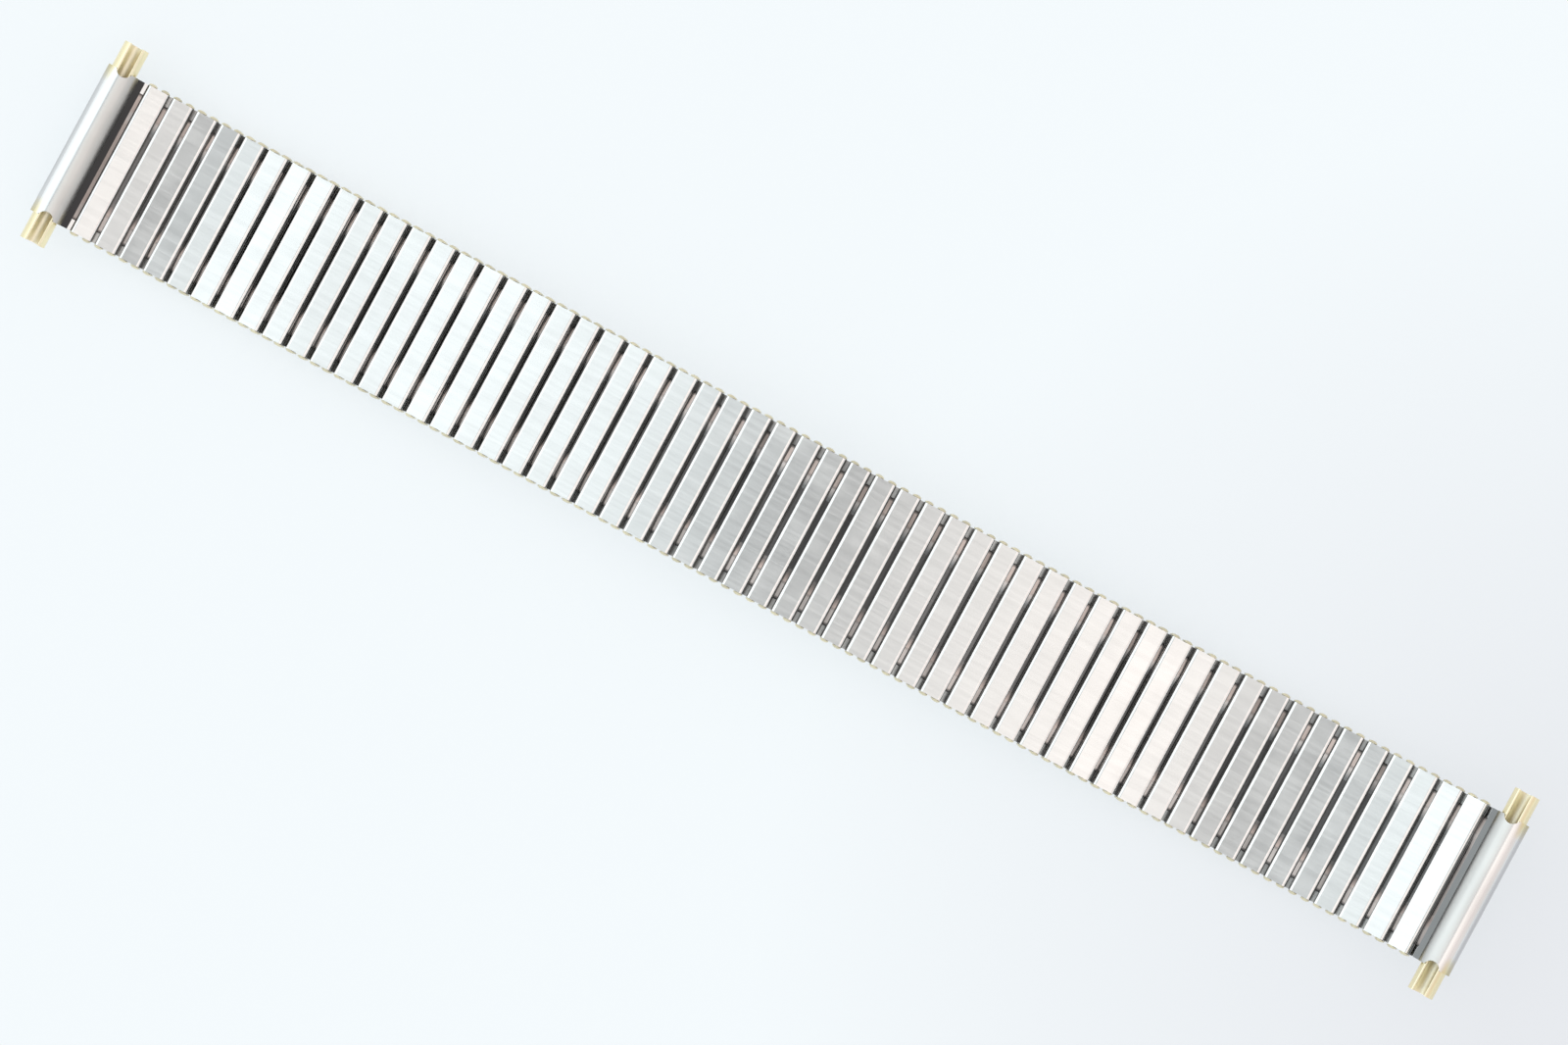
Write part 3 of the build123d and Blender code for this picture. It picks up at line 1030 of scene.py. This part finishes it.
@dataclass
class EndPiece:
    """One end of the band: the end sleeve with its tube for the last clips, and two inserts.

    All shapes are those of the left end, about the middle of its tube, and the right end's are
    mirrored. The satin and the painted shades go by the angle from the roll's top, the gilt on its
    flanks by the distance from its axis, and the gilt at its ends by how far past its start a point
    lies.
    """

    sizes: BandSizes
    line: BandLine
    end: End
    lower_row: SleeveRow
    roll_steps: int = 72
    roll_curve_width: float = 0.4
    seam_angle: float = 12
    satin: dict[End, Fade] = field(default_factory=lambda: {
        End.LEFT: Fade(-14, -4), End.RIGHT: Fade(-19, -9)})
    # painted shade: on the tube in each end's channel, and low on the roll's outer and inner flanks by
    # the angle from its top
    channel_painted_shade: dict[End, float] = field(default_factory=lambda: {
        End.LEFT: 1.0, End.RIGHT: 0.78})
    outer_painted_shade: Fade = Fade(45, 70, 0.35)
    inner_painted_shade: Fade = Fade(15, 60, 0.4)
    # how much of the spring's lighter colour the end's spring gets, in place of the dark painted shade
    end_spring_lightness: float = 0.9
    notch_radius: float = 0.8
    notch_depth: float = 0.6
    gilt_length: float = 1.3
    gilt_rows: tuple[float, float] = (-0.4, 0.25)  # rows of points, from where the gilt starts
    gilt_ends: Fade = Fade(0, 0.5)
    gilt_outside: Fade = Fade(0.8, 1.1)
    gilt_inside: Fade = Fade(1.15, 1.3, 0.6)
    groove: float = 1.1
    lip_shares: tuple[float, ...] = (0, 0.12, 0.35, 0.65)
    lip_edge_share: float = 0.12
    lip_height_share: float = 0.8
    insert_reach: float = 2.65
    insert_end_gap: float = 0.2
    insert_steps: int = 40
    insert_curve_width: float = 0.5
    sleeve_seed: int = 11
    spring_seed: int = 12
    insert_seed: int = 13

    @property
    def name(self) -> str:
        """The end's name in the record."""
        return self.end.name.lower()

    @property
    def centre(self) -> np.ndarray:
        """Place (x, z) of the roll's axis, about the middle of the tube."""
        return np.array([self.sizes.pitch / 2 - self.sizes.roll_centre, self.sizes.roll_height])

    def roll(self) -> Surface:
        """The roll and the tail that joins it to the tube, as one sheet.

        A path goes round the axis at one radius, from just past the bottom round to the bottom,
        and then straight on along the tail. The notches shorten it along Y: near the top, a point
        at x from the axis ends at the edge of a circle, half - depth + radius - sqrt(radius^2 -
        x^2).

        Returns:
            Its surface.
        """
        sizes = self.sizes
        angle = np.radians(np.linspace(-90 + self.seam_angle, 270, self.roll_steps))
        turn = np.column_stack([np.cos(angle), np.sin(angle)])
        tail_end = np.array([[sizes.sleeve_wall - sizes.sleeve_width / 2, self.centre[1]]])
        outer, inner = (
            np.concatenate([self.centre + turn * radius, tail_end - (0, radius)])
            for radius in (sizes.roll_outer, sizes.roll_inner))
        half = sizes.sleeve_length / 2
        ring = np.concatenate([outer, inner[::-1]]) - self.centre
        room = np.sqrt(np.clip(self.notch_radius ** 2 - ring[:, 0] ** 2, 0, None))
        notched = (np.abs(ring[:, 0]) < self.notch_radius) & (ring[:, 1] > 0)
        limit = np.where(notched, half - self.notch_depth + self.notch_radius - room, half)
        gilt_start = half - self.gilt_length
        rows = np.array([*(gilt_start + row for row in self.gilt_rows), half])
        sheet = folded_sheet(outer, inner, np.concatenate([-rows[::-1], rows]),
                             np.minimum(limit, half), smooth_below=self.roll_curve_width)
        return self.roll_with_painted_shade(sheet, gilt_start)

    def roll_with_painted_shade(self, sheet: Surface, gilt_start: float) -> Surface:
        """Adds the roll's gilt, shade and satin, which only its outer face has.

        Near its ends the roll is gilded on both flanks. Shade is painted low on the flanks and darkest
        along the tail, and the roll is satin from a little outside its top inwards.

        Args:
            sheet: The roll and its tail.
            gilt_start: How far from the middle the gilding starts.

        Returns:
            The same sheet with its values.
        """
        sizes = self.sizes
        x, y, z = (sheet.points - (self.centre[0], 0, self.centre[1])).T
        outside = np.hypot(x, z) > (sizes.roll_inner + sizes.roll_outer) / 2
        from_top = np.degrees(np.arctan2(x, z))
        flanks = self.gilt_outside.at(-x) + self.gilt_inside.at(x)
        gilt = flanks * self.gilt_ends.at(np.abs(y) - gilt_start) * outside
        # painted shade: low on both flanks, and full along the tail in the channel
        low = self.outer_painted_shade.at(-from_top) + self.inner_painted_shade.at(from_top)
        tail = (x > sizes.roll_outer) | (z < -sizes.roll_inner) & (x > 0)
        values = {"edge": np.zeros(len(x)), "gilt": gilt,
                  "shade": np.where(tail, 1.0, low * outside),
                  "patch": self.satin[self.end].at(from_top) * outside}
        return replace(sheet, values=values)

    def insert(self) -> Surface:
        """The insert at the +Y side: an open channel whose lips are rolled over.

        The wall's middle line goes round the axis from one lip of the groove to the other, and the
        wall thins to a round lip by its last few steps: half wall * sqrt(1 - (1 - d)^2), where d
        is the share of the lip's length that is passed.

        Returns:
            Its surface.
        """
        sizes = self.sizes
        half_wall = sizes.insert_wall / 2
        middle = sizes.bore_radius + half_wall
        lip = half_wall / middle
        gap = math.asin(self.groove / 2 / middle)
        start, stop = math.pi / 2 + gap, math.pi / 2 - gap + 2 * math.pi
        lip_angles = np.array(self.lip_shares) * lip
        angle = np.unique(np.concatenate([np.linspace(start, stop, self.insert_steps),
                                          start + lip_angles, stop - lip_angles]))
        passed = np.clip(np.minimum(angle - start, stop - angle) / lip, 0, 1)
        wall = half_wall * np.maximum(np.sqrt(1 - (1 - passed) ** 2), self.lip_edge_share)
        turn = np.column_stack([np.cos(angle), np.sin(angle)])
        outer = self.centre + turn * (middle + wall)[:, None]
        inner = self.centre + turn * (middle - wall)[:, None]
        rows = np.array([self.insert_end_gap, sizes.sleeve_length / 2]) + self.insert_reach
        sheet = folded_sheet(outer, inner, rows, np.full(2 * len(outer), rows[-1]),
                             smooth_below=self.insert_curve_width)
        across = sheet.points[:, [0, 2]] - self.centre
        # the lips take the edge colour: a painted highlight along them
        lips = across[:, 1] > middle * self.lip_height_share
        inside = np.hypot(*across.T) < middle
        return replace(sheet, values={"edge": lips.astype(float), "patch": inside.astype(float)})

    def put(self, surface: Surface, seed: int) -> Surface:
        """A surface of the left end, put at this end of the band.

        Args:
            surface: The surface about the middle of the left end's tube.
            seed: Seed of its tone.

        Returns:
            The surface in the record's frame.
        """
        sizes = self.sizes
        turned = surface if self.end is End.LEFT else surface.mirrored(0)
        number = 0 if self.end is End.LEFT else sizes.upper_count - 1
        place = sizes.sleeve_places(number, number) + self.end.value * sizes.pitch / 2
        return self.line.repeat(turned, place, seed)

    def build(self, springs: LeafSprings) -> None:
        """Builds the end sleeve, its spring and its inserts.

        Args:
            springs: The springs, which give the end's spring its shape and finish.
        """
        body = f"{self.name}_end"
        tube = self.lower_row.sleeve()
        blank = np.zeros(len(tube.points))
        # the tube keeps the lower sleeve's painted shade, scaled for this end's channel
        shade = tube.values["shade"] * self.channel_painted_shade[self.end]
        tube = replace(tube, values={"edge": blank, "gilt": blank, "shade": shade, "patch": blank})
        sleeve = Piece(f"{self.name}_end_sleeve", body, "end_steel")
        sleeve.dress(self.put(together([self.roll(), tube]), self.sleeve_seed), END_SHEET)
        strip = springs.strip(Row.LOWER)
        # the end's spring mostly takes the lighter colour, in place of the gap springs' painted shade
        strip = strip.with_value("edge", np.full(len(strip.points), self.end_spring_lightness))
        springs.dress(f"{self.name}_end_spring", body, self.put(strip, self.spring_seed))
        back = self.insert()
        for side, surface in (("back", back), ("front", back.mirrored(1))):
            name = f"{self.name}_{side}_insert"
            Piece(name, name, "gold_plate").dress(self.put(surface, self.insert_seed), PALE_GOLD)


@dataclass
class Sections:
    """The band between its ends: sections of sleeves, and the links that join them."""

    sizes: BandSizes
    line: BandLine
    upper: SleeveRow
    lower: SleeveRow
    clips: SideClips
    springs: LeafSprings
    section_seed: int = 100
    link_seed: int = 1000
    run_step: int = 100
    piece_step: int = 10

    def clip_places(self, uppers: np.ndarray, with_first: bool, with_last: bool) -> np.ndarray:
        """Places of a run's clips, a quarter of a pitch to each side of its upper sleeves.

        Args:
            uppers: Places of the upper sleeves.
            with_first: Whether the run has the clip before its first sleeve.
            with_last: Whether it has the clip after its last sleeve.

        Returns:
            The clips' places, rising.
        """
        quarter = self.sizes.pitch / 4
        places = np.sort(np.concatenate([uppers - quarter, uppers + quarter]))
        return places[0 if with_first else 1:len(places) if with_last else -1]

    def build_section(self, index: int) -> None:
        """Builds the four pieces of one section.

        Args:
            index: The section's number, from 0.
        """
        counts = self.sizes.section_counts
        middle = len(counts) // 2
        first = sum(counts[:index])
        uppers = self.sizes.sleeve_places(first, first + counts[index] - 1)
        lowers = uppers[:-1] + self.sizes.pitch / 2
        body = f"section_{index + 1}"
        seed = self.section_seed + self.run_step * index
        seeds = [seed + self.piece_step * number for number in range(4)]
        self.upper.build(f"{body}_upper_sleeves", body, uppers, seeds[0])
        self.lower.build(f"{body}_lower_sleeves", body, lowers, seeds[1])
        places = self.clip_places(uppers, index > middle or index == 0,
                                  index < middle or index == len(counts) - 1)
        self.clips.build(f"{body}_clips", body, places, seeds[2])
        self.springs.build(f"{body}_springs", body, {Row.UPPER: uppers, Row.LOWER: lowers},
                           seeds[3])

    def build_link(self, index: int) -> None:
        """Builds the three pieces of the link after one section.

        Args:
            index: The section's number, from 0.
        """
        counts = self.sizes.section_counts
        side = 1 if index >= len(counts) // 2 else -1
        number = sum(counts[:index + 1])
        place = self.sizes.sleeve_places(number, number) - self.sizes.pitch / 2
        body = f"link_{index + 1}"
        seed = self.link_seed + self.run_step * index
        seeds = [seed + self.piece_step * number for number in range(3)]
        self.lower.build(f"{body}_sleeve", body, place, seeds[0])
        self.springs.build(f"{body}_spring", body, {Row.LOWER: place}, seeds[1])
        tilting = place - side * self.sizes.pitch / 4
        self.clips.build(f"{body}_clips", f"{body}_tilting_clips", tilting, seeds[2])

    def build(self) -> None:
        """Builds every section and link."""
        for index in range(len(self.sizes.section_counts)):
            self.build_section(index)
        for index in range(len(self.sizes.section_counts) - 1):
            self.build_link(index)


@dataclass(frozen=True)
class Studio:
    """The pale floor, and a soft sky that is cooler at the left and warmer at the right.

    The sky's strength depends on the angle from an axis that leans a little from straight up: it
    is darkest there, where the camera stands, strongest some 20 degrees away, and about 1 all
    round. The floor is mostly clear, so that the sky below shows through it and the band's shadow
    stays faint, and a shadow is painted on it round one place beside the band's right end.
    """

    turn: float
    floor_side: float = 3.0
    floor_drop: float = 0.01
    floor_colour: Colour = (0.886, 0.911, 0.945)
    # a shadow painted on the floor beside the band's right end: its colour, its centre, and the
    # millimetres over which it fades out
    painted_shadow_colour: Colour = (0.5, 0.42, 0.48)
    painted_shadow_place: tuple[float, float, float] = (95, -2, 0)
    painted_shadow_inner: float = 15
    painted_shadow_outer: float = 85
    lean: float = -1.72
    side_blend: float = 0.15
    clearness: float = 0.75
    left_sky: tuple[tuple[float, Colour], ...] = (
        (0, (0.12, 0.12, 0.125)), (3, (0.2, 0.2, 0.21)), (6, (0.52, 0.55, 0.56)),
        (10, (0.78, 0.85, 0.86)), (15, (1.04, 1.12, 1.14)), (22, (1.2, 1.29, 1.31)),
        (50, (1.2, 1.29, 1.31)), (80, (1.05, 1.1, 1.12)), (92, (0.9, 0.955, 0.98)),
        (180, (0.905, 0.96, 0.985)))
    right_sky: tuple[tuple[float, Colour], ...] = (
        (0, (0.12, 0.12, 0.12)), (3, (0.2, 0.2, 0.2)), (6, (0.56, 0.55, 0.55)),
        (10, (0.87, 0.84, 0.81)), (15, (1.1, 1.05, 1.01)), (22, (1.2, 1.13, 1.08)),
        (35, (1.05, 0.97, 0.93)), (55, (0.85, 0.78, 0.75)), (80, (0.88, 0.85, 0.83)),
        (92, (0.9, 0.955, 0.98)), (180, (0.905, 0.96, 0.985)))

    def ramp(self, wiring: Wiring, angle: bpy.types.NodeSocket,
             stops: tuple[tuple[float, Colour], ...]) -> bpy.types.NodeSocket:
        """A colour for each angle from straight up.

        Args:
            wiring: The sky's wiring.
            angle: The angle as a share of 180 degrees.
            stops: Angles in degrees and their colours, rising.

        Returns:
            The colour's socket.
        """
        node = wiring.add("ShaderNodeValToRGB", {"Fac": angle})
        elements = node.color_ramp.elements
        for number, (degrees, colour) in enumerate(stops):
            stop = elements[number] if number < 2 else elements.new(degrees / 180)
            stop.position = degrees / 180
            stop.color = colour + (1.0,)
        return node.outputs["Color"]

    def sky(self) -> None:
        """Builds the world from the direction that a ray leaves in."""
        world = bpy.data.worlds.new("studio_sky")
        world.use_nodes = True
        bpy.context.scene.world = world
        wiring = Wiring(world.node_tree)
        direction = wiring.add("ShaderNodeTexCoord").outputs["Generated"]
        lean = math.radians(self.lean)
        height = wiring.add("ShaderNodeVectorMath", {
            0: direction, 1: (math.sin(lean), 0.0, math.cos(lean))}, operation="DOT_PRODUCT")
        angle = wiring.sum("DIVIDE", wiring.sum("ARCCOSINE", height.outputs["Value"]), math.pi)
        right = (math.cos(self.turn), math.sin(self.turn), 0.0)
        across = wiring.add("ShaderNodeVectorMath", {0: direction, 1: right},
                            operation="DOT_PRODUCT").outputs["Value"]
        side = wiring.spread(across, -self.side_blend, self.side_blend, 0.0, 1.0)
        colour = wiring.mix(side, self.ramp(wiring, angle, self.left_sky),
                            self.ramp(wiring, angle, self.right_sky))
        light = wiring.add("ShaderNodeBackground", {"Color": colour, "Strength": 1.0})
        wiring.add("ShaderNodeOutputWorld", {"Surface": light.outputs[0]})
        world.cycles.sampling_method = "MANUAL"
        world.cycles.sample_map_resolution = 1024

    def floor_material(self) -> bpy.types.Material:
        """The floor's material: pale and mostly clear, and quite clear from below and to shadows.

        Returns:
            The material.
        """
        material = bpy.data.materials.new("floor_paper")
        material.use_nodes = True
        wiring = Wiring(material.node_tree)
        place = wiring.add("ShaderNodeTexCoord").outputs["Object"]
        away = wiring.add("ShaderNodeVectorMath", {
            0: place, 1: tuple(c * MM for c in self.painted_shadow_place)}, operation="DISTANCE").outputs["Value"]
        # painted shadow: the floor darkens towards its colour near one place beside the band's right
        # end
        painted_shadow = wiring.spread(away, self.painted_shadow_inner * MM, self.painted_shadow_outer * MM, 1.0, 0.0)
        colour = wiring.mix(painted_shadow, self.floor_colour + (1.0,), self.painted_shadow_colour + (1.0,))
        matt = wiring.add("ShaderNodeBsdfDiffuse", {"Color": colour}).outputs[0]
        clear = wiring.add("ShaderNodeBsdfTransparent").outputs[0]
        below = wiring.add("ShaderNodeNewGeometry").outputs["Backfacing"]
        shadow = wiring.add("ShaderNodeLightPath").outputs["Is Shadow Ray"]
        see_through = wiring.sum("MAXIMUM", wiring.sum("MAXIMUM", below, shadow), self.clearness)
        surface = wiring.add("ShaderNodeMixShader", {0: see_through, 1: matt, 2: clear})
        wiring.add("ShaderNodeOutputMaterial", {"Surface": surface.outputs[0]})
        return material

    def lay(self, floor: bpy.types.Object) -> None:
        """Lays the floor just under the band, however the band is bent.

        Its height is the lowest point of the pieces, or 0 if that is lower, less a small drop.

        Args:
            floor: The floor, which gets this as a modifier.
        """
        group = bpy.data.node_groups.new("floor_height", "GeometryNodeTree")
        for side in ("INPUT", "OUTPUT"):
            group.interface.new_socket(name="Geometry", in_out=side,
                                       socket_type="NodeSocketGeometry")
        wiring = Wiring(group)
        given, result = wiring.add("NodeGroupInput"), wiring.add("NodeGroupOutput")
        band = wiring.add("GeometryNodeCollectionInfo", {"Collection": band_pieces()},
                          transform_space="RELATIVE")
        solid = wiring.add("GeometryNodeRealizeInstances", {"Geometry": band.outputs[0]})
        box = wiring.add("GeometryNodeBoundBox", {"Geometry": solid.outputs[0]})
        lowest = wiring.add("ShaderNodeSeparateXYZ", {"Vector": box.outputs["Min"]}).outputs["Z"]
        height = wiring.sum("SUBTRACT", wiring.sum("MINIMUM", lowest, 0.0), self.floor_drop * MM)
        offset = wiring.add("ShaderNodeCombineXYZ", {"Z": height}).outputs[0]
        moved = wiring.add("GeometryNodeTransform", {"Geometry": given.outputs[0],
                                                     "Translation": offset})
        group.links.new(moved.outputs[0], result.inputs[0])
        floor.modifiers.new("under_the_band", "NODES").node_group = group

    def build(self) -> None:
        """Builds the floor and the sky."""
        half = self.floor_side / 2
        mesh = bpy.data.meshes.new("floor")
        mesh.from_pydata([(-half, -half, 0), (half, -half, 0), (half, half, 0), (-half, half, 0)],
                         [], [(0, 1, 2, 3)])
        mesh.materials.append(self.floor_material())
        floor = bpy.data.objects.new("floor", mesh)
        bpy.context.scene.collection.objects.link(floor)
        self.lay(floor)
        self.sky()
        log.info("studio: floor and sky")


@dataclass(frozen=True)
class OverheadCamera:
    """The camera: over the band, leaning a little towards its right end.

    The band lies across the picture, turned, and the middle of the picture is a little to the
    right of the band's middle and below it.
    """

    turn: float
    line: BandLine
    lean: float = 3.24
    distance: float = 420
    picture_width: float = 146.7
    sensor: float = 36
    shift_right: float = 1.13
    shift_up: float = -0.70

    def build(self) -> None:
        """Adds the camera and makes it the scene's camera."""
        data = bpy.data.cameras.new("overhead")
        data.sensor_width = self.sensor
        data.lens = self.sensor * self.distance / self.picture_width
        data.clip_start = 0.01
        data.clip_end = 20
        camera = bpy.data.objects.new("overhead", data)
        turned = Matrix.Rotation(math.radians(self.lean), 3, "Y") @ Matrix.Rotation(self.turn, 3, "Z")
        right, up, back = (np.array(axis) for axis in turned.transposed())
        middle = self.line.put(np.zeros((1, 3)), np.zeros(1))[0, 0]
        place = middle + self.shift_right * right + self.shift_up * up + self.distance * back
        camera.location = place * MM
        camera.rotation_euler = turned.to_euler()
        bpy.context.scene.collection.objects.link(camera)
        bpy.context.scene.camera = camera
        log.info("camera: %.0f mm above the band", self.distance)


def main() -> None:
    """Builds the band, the studio and the camera, in that order."""
    sizes = BandSizes()
    line = BandLine(sizes)
    upper = SleeveRow(sizes, line, BRUSHED_SLAT, "brushed_steel", Row.UPPER)
    lower = SleeveRow(sizes, line, INNER_SHEET, "inner_steel", Row.LOWER, edge_radius=0.24,
                      edge_steps=4)
    clips = SideClips(sizes, line, OLIVE_CLIP, "clip_steel")
    springs = LeafSprings(sizes, line, SPRING_IN_PAINTED_SHADE, "spring_steel")
    Sections(sizes, line, upper, lower, clips, springs).build()
    for end in End:
        EndPiece(sizes, line, end, lower).build(springs)
    turn = math.radians(BAND_TURN)
    Studio(turn).build()
    OverheadCamera(turn, line).build()
    bpy.context.scene.view_settings.view_transform = "Standard"


if __name__ == "__main__":
    main()
